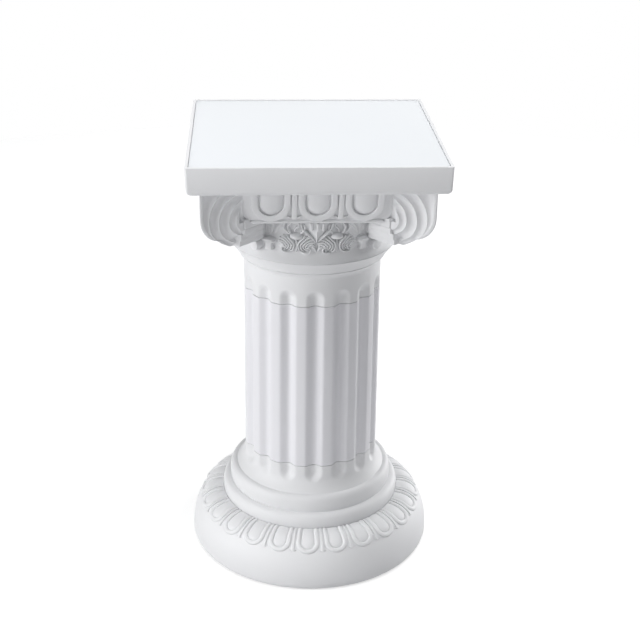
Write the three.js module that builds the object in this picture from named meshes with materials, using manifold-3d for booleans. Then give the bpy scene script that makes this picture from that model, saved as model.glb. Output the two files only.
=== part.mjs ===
// Pedestal column stand: a moulded classical column that comes apart into a bell-shaped base,
// a fluted shaft tube and a capital with corner volutes that carries a square tray.
// Millimetres, +Z up, front of the stand towards -Y, floor at z = 0, column axis at x = y = 0.

import * as THREE from 'three';
import { mergeVertices } from 'three/addons/utils/BufferGeometryUtils.js';
import Module from 'manifold-3d';

const wasm = await Module();
wasm.setup();
const { Manifold, Mesh: SolidMesh } = wasm;

// ---------------------------------------------------------------- driving dimensions

const GAP = 0.3;                 // seam left between two pieces that touch
const WALL = 3;                  // moulded wall

const FLUTES = 16;
const FLUTE_PITCH = (2 * Math.PI) / FLUTES;
const FLUTE_HALF = 0.3 * FLUTE_PITCH;      // half the angle of one flute
const FLUTE_DEPTH = 4.6;
const FLUTE_STEPS = [-1, -0.42, 0.42, 1];
const FLUTE_END = 8.6;           // radius of a flute's rounded end

const SHAFT = { bottom: 117.1, top: 302.2, rBottom: 73, rTop: 72.2, bore: 66 };
const SPIGOT = { radius: SHAFT.bore - GAP, bore: SHAFT.bore - GAP - WALL, length: 29.5, chamfer: 1 };

const FOOT = { inner: 121, outer: 126 };
const BELL = { rim: 132.7, rimZ: 6.5, top: 97, topZ: 54.5, power: 2.2, steps: 7 };
const LOWER_TORUS = { top: 88.7, topZ: 70.3, bulge: 2.9 };
const UPPER_TORUS = { top: 81.6, topZ: 88.3, bulge: 2.8 };
const APOPHYGE = { height: 16, steps: 4 };
const BASE_FLUTE_END = 98;

const BASE_EGGS = { count: 24, turn: -3.8, lean: -62, radius: 110, z: 48.6, half: 7, rim: 11.8, drop: 13.5 };

const CAPITAL_FLUTE_END = 320;
const COLLAR = { line2: 77.1, line2Z: 339.8, line1: 87.2, line1Z: 354.5 };
const NECK = { radius: 79.5, bottom: 366 };
const CAPITAL_TOP = 440.2;

const BLOCK = { halfWidth: 72, bottom: 402.6, lower: 90, upper: 98 };
const FILLET = { halfWidth: 65, bottom: 399.4, depth: 91.5 };
const CAPITAL_EGGS = { pitch: 45, half: 12.5, rim: 19, low: 403.8, face: 93.5 };
const DART = { width: 5.6, low: 404.5 };

// Each volute is a wedge on the diagonal. Its two faces meet at the corner and spread by SPREAD.
const VOLUTE = { eye: [70, 404.5], half: 17, skin: 2.2, tip: 374.2, tipAcross: 85.2, inner: 106 };
const RIM = { across: 90, z: 411, rx: 22.6, rz: 28.5 };      // arc of the outer edge at the corner
const SPREAD = Math.PI / 4 - Math.atan(0.42);
const CRESTS = [
  { rx: 33.6, rz: 36.4 },
  { rx: 24.5, rz: 28.1 },
  { rx: 14.9, rz: 17 },
  { rx: 8.3, rz: 10.8 },
];
const WEB = [
  { half: 17, low: 394, high: CAPITAL_TOP, reach: 121 },
  { half: 16.4, low: 388, high: 394.5, reach: 118 },
  { half: 12.5, low: 379.4, high: 388.5, reach: 116 },
];
const WEB_ROOT = 60;

const TRAY = { side: 250, bottom: 440.5, top: 466, draft: 0.7, corner: 2.5, edge: 3.6, floor: 3 };
const RECESS = { side: 244, floor: 461.2 };
const RIBS = { cells: 6, width: 2 };
const PANEL = { side: 243, top: 465.1, edge: 0.5 };

const SCREW = { head: 4, headHigh: 2.4, shank: 1.9, length: 15, hole: 2.3, pilot: 2.25 };
const SCREW_AT = (RECESS.side / RIBS.cells) * 1.5;     // centre of a rib cell over the capital's corner

const COLORS = { plastic: 0xe9eaee, shaft: 0xe6e6ee, panel: 0xf1f4f8, steel: 0xb9bcc0 };

// ---------------------------------------------------------------- solid helpers

function toSolid(geometry) {
  const bare = geometry.clone();
  bare.deleteAttribute('normal');
  bare.deleteAttribute('uv');
  const welded = mergeVertices(bare, 1e-4);
  return new Manifold(new SolidMesh({
    numProp: 3,
    vertProperties: new Float32Array(welded.attributes.position.array),
    triVerts: new Uint32Array(welded.index.array),
  }));
}

function toGeometry(solid) {
  const raw = solid.getMesh();
  const geometry = new THREE.BufferGeometry();
  geometry.setAttribute('position', new THREE.BufferAttribute(new Float32Array(raw.vertProperties), 3));
  geometry.setIndex(new THREE.BufferAttribute(new Uint32Array(raw.triVerts), 1));
  geometry.computeVertexNormals();
  return geometry;
}

function join(solids) {
  return Manifold.union(solids);
}

function box(sizeX, sizeY, sizeZ, x, y, z) {
  return toSolid(new THREE.BoxGeometry(sizeX, sizeY, sizeZ).translate(x, y, z));
}

// Copies of a solid turned about the column axis: four for what repeats on each side.
function around(solid, count = 4, start = 0) {
  const step = 360 / count;
  return join(Array.from({ length: count }, (_, k) => solid.rotate([0, 0, start + k * step])));
}

// A flat outline in (across, z), swept along Y from yNear to yFar.
function sweepY(points, yNear, yFar) {
  const shape = new THREE.Shape(points.map(([across, z]) => new THREE.Vector2(across, z)));
  const geometry = new THREE.ExtrudeGeometry(shape, { depth: yFar - yNear, bevelEnabled: false });
  geometry.rotateX(Math.PI / 2);
  geometry.translate(0, yFar, 0);
  return toSolid(geometry);
}

// Closed solid through a stack of rings with equal point counts, capped at both ends.
function loft(rings) {
  const count = rings[0].length;
  const positions = rings.flat().flatMap((p) => [p.x, p.y, p.z]);
  const index = [];
  for (let i = 0; i + 1 < rings.length; i += 1) {
    for (let j = 0; j < count; j += 1) {
      const next = (j + 1) % count;
      const [a, b] = [i * count + j, i * count + next];
      index.push(a, b, b + count, a, b + count, a + count);
    }
  }
  const addCap = (first, flip) => {
    const centre = positions.length / 3;
    positions.push(0, 0, positions[first * 3 + 2]);
    for (let j = 0; j < count; j += 1) {
      const [a, b] = [first + j, first + ((j + 1) % count)];
      index.push(centre, flip ? b : a, flip ? a : b);
    }
  };
  addCap(0, true);
  addCap((rings.length - 1) * count, false);
  const geometry = new THREE.BufferGeometry();
  geometry.setAttribute('position', new THREE.Float32BufferAttribute(positions, 3));
  geometry.setIndex(index);
  return geometry;
}

// ---------------------------------------------------------------- fluted rings

// One ring of the column: lands at the given radius, flutes sunk by depth (0 to 1).
function columnRing({ r, z, flute = 0 }) {
  const half = FLUTE_HALF * (flute > 0 ? Math.max(flute, 0.35) : 1);
  const ring = [];
  for (let k = 0; k < FLUTES; k += 1) {
    for (const step of FLUTE_STEPS) {
      const angle = k * FLUTE_PITCH + step * half;
      const sunk = FLUTE_DEPTH * flute * Math.sqrt(1 - step * step);
      ring.push(new THREE.Vector3((r - sunk) * Math.sin(angle), -(r - sunk) * Math.cos(angle), z));
    }
  }
  return ring;
}

// How open a flute is at height z when its rounded end is at endZ and it runs on in direction way.
function fluteAt(z, endZ, way) {
  const inside = (z - endZ) * way;
  if (inside <= 0) return 0;
  if (inside >= FLUTE_END) return 1;
  const short = 1 - inside / FLUTE_END;
  return Math.sqrt(1 - short * short);
}

function columnLoft(profile) {
  return toSolid(loft(profile.map(columnRing)));
}

// Round hollow inside a piece, from [radius, z] pairs listed upwards.
function hollow(pairs, segments = 40) {
  const outline = [[0, pairs[0][1]], ...pairs, [0, pairs.at(-1)[1]]];
  const geometry = new THREE.LatheGeometry(outline.map(([r, z]) => new THREE.Vector2(r, z)), segments);
  geometry.rotateX(Math.PI / 2);
  return toSolid(geometry);
}

// ---------------------------------------------------------------- base

function bellCurve({ rim, rimZ, top, topZ, power, steps }) {
  return Array.from({ length: steps + 1 }, (_, i) => {
    const angle = (i / steps) * (Math.PI / 2);
    return {
      r: top + (rim - top) * Math.cos(angle) ** (2 / power),
      z: rimZ + (topZ - rimZ) * Math.sin(angle) ** (2 / power),
    };
  });
}

// A torus seen in section: quadratic curve from the crease below to the crease above.
function torusCurve(rLow, zLow, { top, topZ, bulge }) {
  const curve = new THREE.QuadraticBezierCurve(
    new THREE.Vector2(rLow, zLow),
    new THREE.Vector2(rLow + bulge, topZ + 0.4 * bulge),
    new THREE.Vector2(top, topZ),
  );
  return curve.getPoints(4).slice(1).map((p) => ({ r: p.x, z: p.y }));
}

function apophygeCurve() {
  const flare = UPPER_TORUS.top - SHAFT.rBottom;
  return Array.from({ length: APOPHYGE.steps }, (_, i) => {
    const s = (i + 1) / APOPHYGE.steps;
    const z = UPPER_TORUS.topZ + APOPHYGE.height * s;
    return { r: SHAFT.rBottom + flare * (1 - s) ** 2, z, flute: fluteAt(z, BASE_FLUTE_END, 1) };
  });
}

function baseProfile() {
  const stubTop = SHAFT.bottom - GAP / 2;
  const spigotTop = SHAFT.bottom + SPIGOT.length;
  return [
    { r: FOOT.outer, z: 0 },
    { r: BELL.rim - 1.6, z: 2.4 },
    ...bellCurve(BELL),
    ...torusCurve(BELL.top, BELL.topZ, LOWER_TORUS),
    ...torusCurve(LOWER_TORUS.top, LOWER_TORUS.topZ, UPPER_TORUS),
    ...apophygeCurve(),
    { r: SHAFT.rBottom, z: BASE_FLUTE_END + FLUTE_END, flute: 1 },
    { r: SHAFT.rBottom, z: stubTop, flute: 1 },
    { r: SPIGOT.radius, z: stubTop },
    { r: SPIGOT.radius, z: spigotTop - SPIGOT.chamfer },
    { r: SPIGOT.radius - SPIGOT.chamfer, z: spigotTop },
  ];
}

function baseHollow() {
  const inside = bellCurve({ ...BELL, rim: BELL.rim - WALL - 0.6, top: BELL.top - 5, topZ: BELL.topZ - 3.5, steps: 5 });
  return hollow([
    [FOOT.inner, -1],
    [FOOT.inner, WALL],
    ...inside.map(({ r, z }) => [r, z]),
    [LOWER_TORUS.top - 5, LOWER_TORUS.topZ - 5],
    [UPPER_TORUS.top - 5, UPPER_TORUS.topZ - 6],
    [SPIGOT.bore, UPPER_TORUS.topZ + 8],
    [SPIGOT.bore, SHAFT.bottom + SPIGOT.length + 1],
  ]);
}

// One egg with its flat rim, laid on the shoulder of the bell.
function baseEgg() {
  const { lean, radius, z, half, rim, drop } = BASE_EGGS;
  const tilt = THREE.MathUtils.degToRad(lean);
  const place = (geometry) => toSolid(geometry.rotateX(tilt).translate(0, -radius, z));
  const egg = new THREE.SphereGeometry(1, 6, 4).rotateX(Math.PI / 2).scale(half, 4.4, drop);
  const rimPlate = new THREE.SphereGeometry(1, 6, 3).rotateX(Math.PI / 2).scale(rim, 3.2, drop + 2.6);
  return join([place(egg), place(rimPlate)]);
}

function base() {
  const shell = columnLoft(baseProfile());
  return shell.add(around(baseEgg(), BASE_EGGS.count, BASE_EGGS.turn)).subtract(baseHollow());
}

// ---------------------------------------------------------------- shaft tube

function shaftTube() {
  const outside = columnLoft([
    { r: SHAFT.rBottom, z: SHAFT.bottom + GAP / 2, flute: 1 },
    { r: SHAFT.rTop, z: SHAFT.top - GAP / 2, flute: 1 },
  ]);
  return outside.subtract(hollow([[SHAFT.bore, SHAFT.bottom - 1], [SHAFT.bore, SHAFT.top + 1]]));
}

// ---------------------------------------------------------------- capital

function coreProfile() {
  const shoulder = SHAFT.top + GAP / 2;
  const spigotLow = SHAFT.top - SPIGOT.length;
  const fluteEnds = [0.75, 0.35, 0].map((part) => {
    const z = CAPITAL_FLUTE_END - FLUTE_END * part;
    return { r: SHAFT.rTop, z, flute: fluteAt(z, CAPITAL_FLUTE_END, -1) };
  });
  return [
    { r: SPIGOT.radius - SPIGOT.chamfer, z: spigotLow },
    { r: SPIGOT.radius, z: spigotLow + SPIGOT.chamfer },
    { r: SPIGOT.radius, z: shoulder },
    { r: SHAFT.rTop, z: shoulder, flute: 1 },
    { r: SHAFT.rTop, z: CAPITAL_FLUTE_END - FLUTE_END, flute: 1 },
    ...fluteEnds,
    { r: SHAFT.rTop + 0.3, z: 331 },
    { r: COLLAR.line2, z: COLLAR.line2Z },
    { r: 81, z: 346 },
    { r: COLLAR.line1, z: COLLAR.line1Z },
    { r: COLLAR.line1 - 0.4, z: COLLAR.line1Z + 1.4 },
    { r: NECK.radius, z: NECK.bottom },
    { r: NECK.radius, z: CAPITAL_TOP },
  ];
}

function capitalHollow() {
  return hollow([
    [SPIGOT.bore, SHAFT.top - SPIGOT.length - 1],
    [SPIGOT.bore, 334],
    [COLLAR.line2 - 4, COLLAR.line2Z + 6],
    [NECK.radius - 3.5, NECK.bottom - 4],
    [NECK.radius - 3.5, CAPITAL_TOP - WALL],
  ]);
}

// Square echinus: two crossing bars whose faces lean out like an ovolo, with a bead under each.
function echinusBar() {
  const { bottom, lower, upper, halfWidth } = BLOCK;
  const rise = CAPITAL_TOP - bottom;
  const side = [[lower - 2, bottom], [lower, bottom + 1.5], [lower + 4.6, bottom + rise * 0.45], [upper, CAPITAL_TOP]];
  const section = [...side, ...side.map(([across, z]) => [-across, z]).reverse()];
  const bar = sweepY(section, -halfWidth, halfWidth);
  const bead = box(2 * FILLET.depth, 2 * FILLET.halfWidth, 3.2, 0, 0, FILLET.bottom + 1.6);
  return bar.add(bead);
}

// A round-bottomed outline, open at the top: the shape of an egg's frame on the echinus.
function cupOutline(halfWidth, low, steps = 7) {
  const arc = Array.from({ length: steps + 1 }, (_, i) => {
    const angle = Math.PI * (1 + i / steps);
    return [halfWidth * Math.cos(angle), low + halfWidth * (1 + Math.sin(angle))];
  });
  return [[-halfWidth, CAPITAL_TOP + 2], ...arc, [halfWidth, CAPITAL_TOP + 2]];
}

function echinusEgg() {
  const { half, rim, low, face } = CAPITAL_EGGS;
  const lean = THREE.MathUtils.radToDeg(Math.atan2(BLOCK.upper - BLOCK.lower, CAPITAL_TOP - BLOCK.bottom));
  const egg = new THREE.SphereGeometry(1, 8, 6).rotateX(Math.PI / 2).scale(half, 6, rim - 2);
  const inner = cupOutline(half + 1.5, low + rim - half - 1.5).reverse();
  const frame = sweepY([...cupOutline(rim, low), ...inner], -2.6, 6);
  const leaning = frame.translate([0, 0, -low]).rotate([-lean, 0, 0]).translate([0, -BLOCK.lower - 1, low]);
  return leaning.add(toSolid(egg.translate(0, -face, low + rim + 1)));
}

function echinus() {
  const { pitch, face } = CAPITAL_EGGS;
  const egg = echinusEgg();
  const eggs = [-pitch, 0, pitch].map((x) => egg.translate([x, 0, 0]));
  const darts = [-pitch / 2, pitch / 2].map((x) => box(DART.width, 7, 38, x, -face, DART.low + 19));
  const ornament = join([...eggs, ...darts]);
  const bar = echinusBar();
  return join([bar, bar.rotate([0, 0, 90]), around(ornament)]);
}

// Outer edge of a volute on the diagonal plane, as [across, z]: straight under the tray, then
// round the rim's arc and in to the tip. Across is the x of a corner point, which is also its y.
function voluteEdge(steps = 5) {
  const arc = Array.from({ length: steps + 1 }, (_, i) => {
    const angle = -(i / steps) * THREE.MathUtils.degToRad(68);
    return [RIM.across + RIM.rx * Math.cos(angle), RIM.z + RIM.rz * Math.sin(angle)];
  });
  return [[RIM.across + RIM.rx, CAPITAL_TOP + 1], ...arc, [VOLUTE.tipAcross, VOLUTE.tip]];
}

// The wedge of one volute in its own frame: the corner points to -Y and the faces lean by SPREAD.
function voluteWedge(inset) {
  const { half, tip, inner } = VOLUTE;
  const side = [[half, CAPITAL_TOP + 1], [half, 391], [12.5, 384], [0, tip - 0.4]];
  const section = [...side, ...side.slice(0, -1).map(([t, z]) => [-t, z]).reverse()];
  const reach = voluteEdge().map(([across, z]) => [Math.SQRT2 * across * Math.sin(SPREAD) - inset, z]);
  const face = sweepY([...reach, [-80, VOLUTE.tip], [-80, CAPITAL_TOP + 1]], -200, 0);
  const right = face.rotate([0, 0, -THREE.MathUtils.radToDeg(SPREAD)]);
  return sweepY(section, -170, -inner).intersect(right).intersect(right.mirror([1, 0, 0]));
}

function crestArc({ rx, rz }, steps = 6) {
  const [cx, cz] = VOLUTE.eye;
  return Array.from({ length: steps + 1 }, (_, i) => {
    const angle = (i / steps - 0.5) * 0.96 * Math.PI;
    return [-cx - rx * Math.cos(angle), cz + rz * Math.sin(angle)];
  });
}

// The channels between the crests, as prisms across the face that looks to the front.
function channelPrisms() {
  const solids = CRESTS.slice(1).map((inner, k) => {
    const { rx, rz } = CRESTS[k];
    const outline = [...crestArc({ rx: rx - 1, rz: rz - 1 }).reverse(), ...crestArc(inner)];
    return sweepY(outline, -140, -80);
  });
  return join(solids).rotate([0, 0, 45]);
}

function volutes() {
  const halfOf = (solid) => solid.trimByPlane([1, 0, 0], 0);
  const face = halfOf(voluteWedge(0)).subtract(channelPrisms()).add(halfOf(voluteWedge(VOLUTE.skin)));
  const strips = WEB.map(({ half, low, high, reach }) => box(2 * half, reach - WEB_ROOT, high - low, 0,
    -(WEB_ROOT + reach) / 2, (low + high) / 2));
  return around(join([face, face.mirror([1, 0, 0]), ...strips]), 4, -45);
}

// Carved band of the neck on one side: hanging wedge, curled leaves, buds and end blocks.
function neckCarving() {
  const on = (geometry, degrees, r, z) => {
    const turned = geometry.translate(0, -r, z).rotateZ(THREE.MathUtils.degToRad(degrees));
    return toSolid(turned);
  };
  const pieces = [on(new THREE.ConeGeometry(16, 22, 4).rotateX(-Math.PI / 2).scale(1, 0.62, 1), 0, 79, 387)];
  for (const side of [-1, 1]) {
    for (const degrees of [7.6, 21.8]) {
      const leaf = new THREE.SphereGeometry(1, 7, 5).scale(9, 5.8, 9.2);
      pieces.push(on(leaf, side * degrees, 79.5, 374.6));
    }
    pieces.push(on(new THREE.SphereGeometry(1, 6, 4).scale(6.6, 4.8, 4.2), side * 14.2, 80, 382));
    pieces.push(on(new THREE.BoxGeometry(11, 6, 5), side * 34, 80.5, 373.4));
    pieces.push(on(new THREE.BoxGeometry(7.4, 5, 8), side * 34, 80, 368.6));
    pieces.push(on(new THREE.BoxGeometry(9, 7, 9.5), side * 42.4, 80.5, 369.5));
  }
  return join(pieces);
}

function pilotHoles() {
  const pilot = new THREE.CylinderGeometry(SCREW.pilot, SCREW.pilot, 16, 12).rotateX(Math.PI / 2);
  return around(toSolid(pilot.translate(SCREW_AT, SCREW_AT, CAPITAL_TOP - 7)));
}

function capital() {
  const body = join([columnLoft(coreProfile()), echinus(), volutes(), around(neckCarving())]);
  const levelled = body.trimByPlane([0, 0, -1], -CAPITAL_TOP);
  return levelled.subtract(capitalHollow()).subtract(pilotHoles());
}

// ---------------------------------------------------------------- tray, panel and screws

function squareRing(half, corner, z, steps = 3) {
  const ring = [];
  const centres = [[-1, -1, 180], [1, -1, 270], [1, 1, 0], [-1, 1, 90]];
  for (const [sx, sy, start] of centres) {
    for (let i = 0; i <= steps; i += 1) {
      const angle = THREE.MathUtils.degToRad(start + (90 * i) / steps);
      const inset = half - corner;
      ring.push(new THREE.Vector3(
        sx * inset + corner * Math.cos(angle),
        sy * inset + corner * Math.sin(angle),
        z,
      ));
    }
  }
  return ring;
}

function squareLoft(levels) {
  return toSolid(loft(levels.map(([half, corner, z]) => squareRing(half, corner, z))));
}

function topTray() {
  const { side, bottom, top, draft, corner, edge, floor } = TRAY;
  const half = side / 2;
  const outside = squareLoft([
    [half - draft - edge, corner, bottom],
    [half - draft - edge * 0.3, corner + 1, bottom + edge * 0.3],
    [half - draft, corner, bottom + edge],
    [half, corner, top - 1],
    [half - 0.4, corner, top],
  ]);
  const recess = box(RECESS.side, RECESS.side, 20, 0, 0, RECESS.floor + 10);
  const pitch = RECESS.side / RIBS.cells;
  const deep = RECESS.floor + 1 - (bottom + floor);
  const cells = [];
  for (let i = 0; i < RIBS.cells; i += 1) {
    for (let j = 0; j < RIBS.cells; j += 1) {
      const at = (n) => (n - (RIBS.cells - 1) / 2) * pitch;
      const cell = pitch - RIBS.width;
      cells.push(box(cell, cell, deep, at(i), at(j), bottom + floor + deep / 2));
    }
  }
  const hole = new THREE.CylinderGeometry(SCREW.hole, SCREW.hole, 10, 12).rotateX(Math.PI / 2);
  const holes = around(toSolid(hole.translate(SCREW_AT, SCREW_AT, bottom)));
  return outside.subtract(join([recess, ...cells, holes]));
}

function topPanel() {
  const half = PANEL.side / 2;
  const low = RECESS.floor + GAP;
  return squareLoft([
    [half - PANEL.edge, 1, low],
    [half, 1.2, low + PANEL.edge],
    [half, 1.2, PANEL.top - PANEL.edge],
    [half - PANEL.edge, 1, PANEL.top],
  ]);
}

function trayScrew() {
  const { head, headHigh, shank, length } = SCREW;
  const outline = [[0, -length], [shank * 0.3, -length], [shank, -length + 3], [shank, 0], [head, 0],
    [head, headHigh * 0.4], [head * 0.55, headHigh], [0, headHigh]];
  const geometry = new THREE.LatheGeometry(outline.map(([r, z]) => new THREE.Vector2(r, z)), 10);
  const slot = box(4.6, 0.9, 1.6, 0, 0, headHigh);
  return toSolid(geometry.rotateX(Math.PI / 2)).subtract(slot);
}

// ---------------------------------------------------------------- assembly

function addPiece(group, name, solid, color, roughness = 0.55, metalness = 0) {
  const material = new THREE.MeshStandardMaterial({ color, roughness, metalness });
  const mesh = new THREE.Mesh(toGeometry(solid), material);
  mesh.name = name;
  group.add(mesh);
  return mesh;
}

const stand = new THREE.Group();
stand.name = 'pedestal_column_stand';

addPiece(stand, 'base', base(), COLORS.plastic);
addPiece(stand, 'shaft_tube', shaftTube(), COLORS.shaft);
addPiece(stand, 'capital', capital(), COLORS.plastic);
addPiece(stand, 'top_tray', topTray(), COLORS.plastic);
addPiece(stand, 'top_panel', topPanel(), COLORS.panel, 0.4);

const screwSolid = trayScrew();
const corners = [[-1, -1], [1, -1], [1, 1], [-1, 1]];
corners.forEach(([sx, sy], i) => {
  const screw = addPiece(stand, `tray_screw_${i + 1}`, screwSolid, COLORS.steel, 0.35, 0.9);
  screw.position.set(sx * SCREW_AT, sy * SCREW_AT, TRAY.bottom + TRAY.floor + GAP);
});

export default stand;
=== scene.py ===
"""Classical column stand, dressed for its renders.

The stand is a bell-shaped base, a fluted shaft tube and a carved capital, which carries a square
tray with a lift-out panel. Sizes are in millimetres until a piece is finished. +Z is up and the
front is -Y.
"""

import logging
import math
from contextlib import contextmanager
from dataclasses import dataclass
from enum import Enum
from typing import Any, Callable, Iterator, Sequence

import bpy
import numpy as np
from mathutils import Matrix, Vector


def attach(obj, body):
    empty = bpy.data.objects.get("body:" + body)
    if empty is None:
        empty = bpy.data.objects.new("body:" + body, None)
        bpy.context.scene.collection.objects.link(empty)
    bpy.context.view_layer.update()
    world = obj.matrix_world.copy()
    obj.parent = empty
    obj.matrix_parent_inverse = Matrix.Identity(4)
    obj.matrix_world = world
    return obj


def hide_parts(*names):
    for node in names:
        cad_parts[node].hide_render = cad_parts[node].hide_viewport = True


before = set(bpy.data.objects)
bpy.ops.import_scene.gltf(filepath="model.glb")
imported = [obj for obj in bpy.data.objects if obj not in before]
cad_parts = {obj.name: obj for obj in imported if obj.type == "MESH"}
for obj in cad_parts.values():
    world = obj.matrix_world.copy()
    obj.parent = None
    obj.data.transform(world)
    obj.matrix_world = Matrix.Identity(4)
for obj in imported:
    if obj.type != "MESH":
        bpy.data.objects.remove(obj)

LOG = logging.getLogger("column_stand")
MM = 0.001
HAIR = 0.002                    # points nearer than this are one point, in millimetres

Piece = bpy.types.Object
Pair = tuple[float, float]
Triple = tuple[float, float, float]
Points = np.ndarray
Rule = Callable[[Points], Points]
Sheet = Callable[[Points, Points], Points]
Amount = Callable[[Points], Points]
Test = Callable[[Vector, Vector], bool]


class Body(Enum):
    """The moving groups that a piece can ride on."""

    BASE = "base_body"
    SHAFT = "shaft_body"
    CAPITAL = "capital_body"
    PANEL = "panel_body"


class Slot(Enum):
    """The record's material slots."""

    MOULDING = "moulding"
    SHAFT = "shaft"
    PANEL = "panel"
    SCREW = "screw"


class Section(Enum):
    """Cross sections of a raised band. The value is the power that squares its corners."""

    ROUND = 1.0
    FLAT = 0.27


# ---------------------------------------------------------------- bench


class Bench:
    """Bench tools: primitives are set down, shaped in edit mode, trued up and joined."""

    @staticmethod
    def clear() -> None:
        """Leaves edit mode and deselects everything."""
        if bpy.context.mode != "OBJECT":
            bpy.ops.object.mode_set(mode="OBJECT")
        bpy.ops.object.select_all(action="DESELECT")
        bpy.context.tool_settings.mesh_select_mode = (True, False, False)

    @classmethod
    @contextmanager
    def editing(cls, obj: Piece | None = None) -> Iterator[None]:
        """Opens edit mode for a block of code.

        Args:
            obj: The piece to select all of, or None for the active one as it is selected.
        """
        if obj:
            cls.hold(obj)
        bpy.ops.object.mode_set(mode="EDIT")
        if obj:
            bpy.ops.mesh.select_all(action="SELECT")
        yield
        bpy.ops.object.mode_set(mode="OBJECT")

    @classmethod
    def hold(cls, *objs: Piece) -> None:
        """Selects the given objects and makes the first one active."""
        cls.clear()
        for obj in objs:
            obj.select_set(True)
        bpy.context.view_layer.objects.active = objs[0]

    @staticmethod
    def take_new(name: str) -> Piece:
        """Names the primitive that was just set down and returns it."""
        obj = bpy.context.active_object
        obj.name = name
        obj.data.name = name
        return obj

    @staticmethod
    def points(obj: Piece) -> Points:
        """Returns the piece's vertices as rows of x, y, z."""
        flat = np.empty(len(obj.data.vertices) * 3)
        obj.data.vertices.foreach_get("co", flat)
        return flat.reshape(-1, 3)

    @classmethod
    def select_faces(cls, obj: Piece, wanted: Test) -> None:
        """Selects only the faces that a test on centre and normal wants."""
        cls.pick(obj, "FACE")
        for face in obj.data.polygons:
            face.select = wanted(face.center, face.normal)

    @classmethod
    def select_edges(cls, obj: Piece, wanted: Test) -> None:
        """Selects only the edges that a test on both ends wants."""
        cls.pick(obj, "EDGE")
        spots = [vertex.co for vertex in obj.data.vertices]
        for edge in obj.data.edges:
            edge.select = wanted(*(spots[index] for index in edge.vertices))

    @classmethod
    def pick(cls, obj: Piece, mode: str) -> None:
        """Makes a piece ready for a choice of faces or edges, with nothing selected on it."""
        with cls.editing(obj):
            bpy.ops.mesh.select_mode(type=mode)
            bpy.ops.mesh.select_all(action="DESELECT")

    @classmethod
    def move(cls, obj: Piece, rule: Rule) -> Piece:
        """Moves every vertex by a rule from old rows of x, y, z to new ones; returns the piece."""
        obj.data.vertices.foreach_set("co", rule(cls.points(obj)).ravel())
        obj.data.update()
        return obj

    @staticmethod
    def tidy(close: bool = False, merge: float = HAIR) -> None:
        """Merges points nearer than merge, fills open ends if asked, turns faces outward."""
        bpy.ops.mesh.select_all(action="SELECT")
        bpy.ops.mesh.remove_doubles(threshold=merge)
        if close:
            bpy.ops.mesh.select_all(action="SELECT")
            bpy.ops.mesh.fill_holes(sides=0)
        bpy.ops.mesh.select_all(action="SELECT")
        bpy.ops.mesh.normals_make_consistent(inside=False)

    @classmethod
    def turned(cls, name: str, profile: Sequence[Pair], segments: int) -> Piece:
        """Spins a closed outline about the column axis.

        Args:
            name: The piece's name.
            profile: Radius and height of each point; the last point is the first one again.
            segments: Steps round the axis.

        Returns:
            The closed round piece.
        """
        cls.clear()
        bpy.ops.mesh.primitive_plane_add(size=1)
        obj = cls.take_new(name)
        with cls.editing(obj):
            bpy.ops.mesh.merge(type="CENTER")
            bpy.ops.transform.translate(value=(profile[0][0], 0, profile[0][1]))
            for (r, z), (next_r, next_z) in zip(profile, profile[1:]):
                step = {"value": (next_r - r, 0, next_z - z)}
                bpy.ops.mesh.extrude_region_move(TRANSFORM_OT_translate=step)
            bpy.ops.mesh.select_all(action="SELECT")
            bpy.ops.mesh.spin(steps=segments, angle=2 * math.pi, center=(0, 0, 0), axis=(0, 0, 1))
            cls.tidy()
        return obj

    @classmethod
    def sheet(cls, name: str, across: int, along: int, place: Sheet,
              rolled: bool = False) -> Piece:
        """Sets down a grid and bends it to a surface.

        Args:
            name: The piece's name.
            across: Faces across, along s.
            along: Faces along t.
            place: Gives a point for each s and t from 0 to 1.
            rolled: Whether the two long edges meet, so that the ends are filled.

        Returns:
            The bent sheet or the closed tube.
        """
        cls.clear()
        bpy.ops.mesh.primitive_grid_add(x_subdivisions=across, y_subdivisions=along, size=2)
        obj = cls.take_new(name)
        cls.move(obj, lambda flat: place((flat[:, 0] + 1) / 2, (flat[:, 1] + 1) / 2))
        with cls.editing(obj):
            cls.tidy(close=rolled)
        return obj

    @classmethod
    def sweep(cls, name: str, path: Points, width: Amount, height: Amount,
              section: Section = Section.ROUND, sink: float = 1.0, around: int = 14) -> Piece:
        """Draws a raised band along a path in the flat working plane.

        Args:
            name: The piece's name.
            path: Rows of x, y that the band follows.
            width: Half width of the band for t from 0 to 1.
            height: Rise of the band for t from 0 to 1.
            section: Round or flat top.
            sink: Depth of the band's back below the plane.
            around: Points round the section.

        Returns:
            The closed band: x across, y up, z out of the plane.
        """
        count = len(path)
        ways = np.gradient(path, axis=0)
        ways /= np.linalg.norm(ways, axis=1)[:, None]
        sides = np.stack([-ways[:, 1], ways[:, 0]], axis=1)

        def place(s: Points, t: Points) -> Points:
            row = np.rint(t * (count - 1)).astype(int)
            out, rise = squared(2 * math.pi * s, section.value)
            out = out * width(t)
            lift = np.where(rise > 0, rise * height(t), rise * sink)
            return np.column_stack([path[row] + sides[row] * out[:, None], lift])

        return cls.sheet(name, around, count - 1, place, rolled=True)

    @classmethod
    def box(cls, name: str, low: Triple, high: Triple) -> Piece:
        """Sets down a box between two corners, to be bevelled."""
        cls.clear()
        bpy.ops.mesh.primitive_cube_add(size=1)
        obj = cls.take_new(name)
        size, middle = np.subtract(high, low), np.add(high, low) / 2
        return cls.move(obj, lambda p: p * size + middle)

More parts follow.
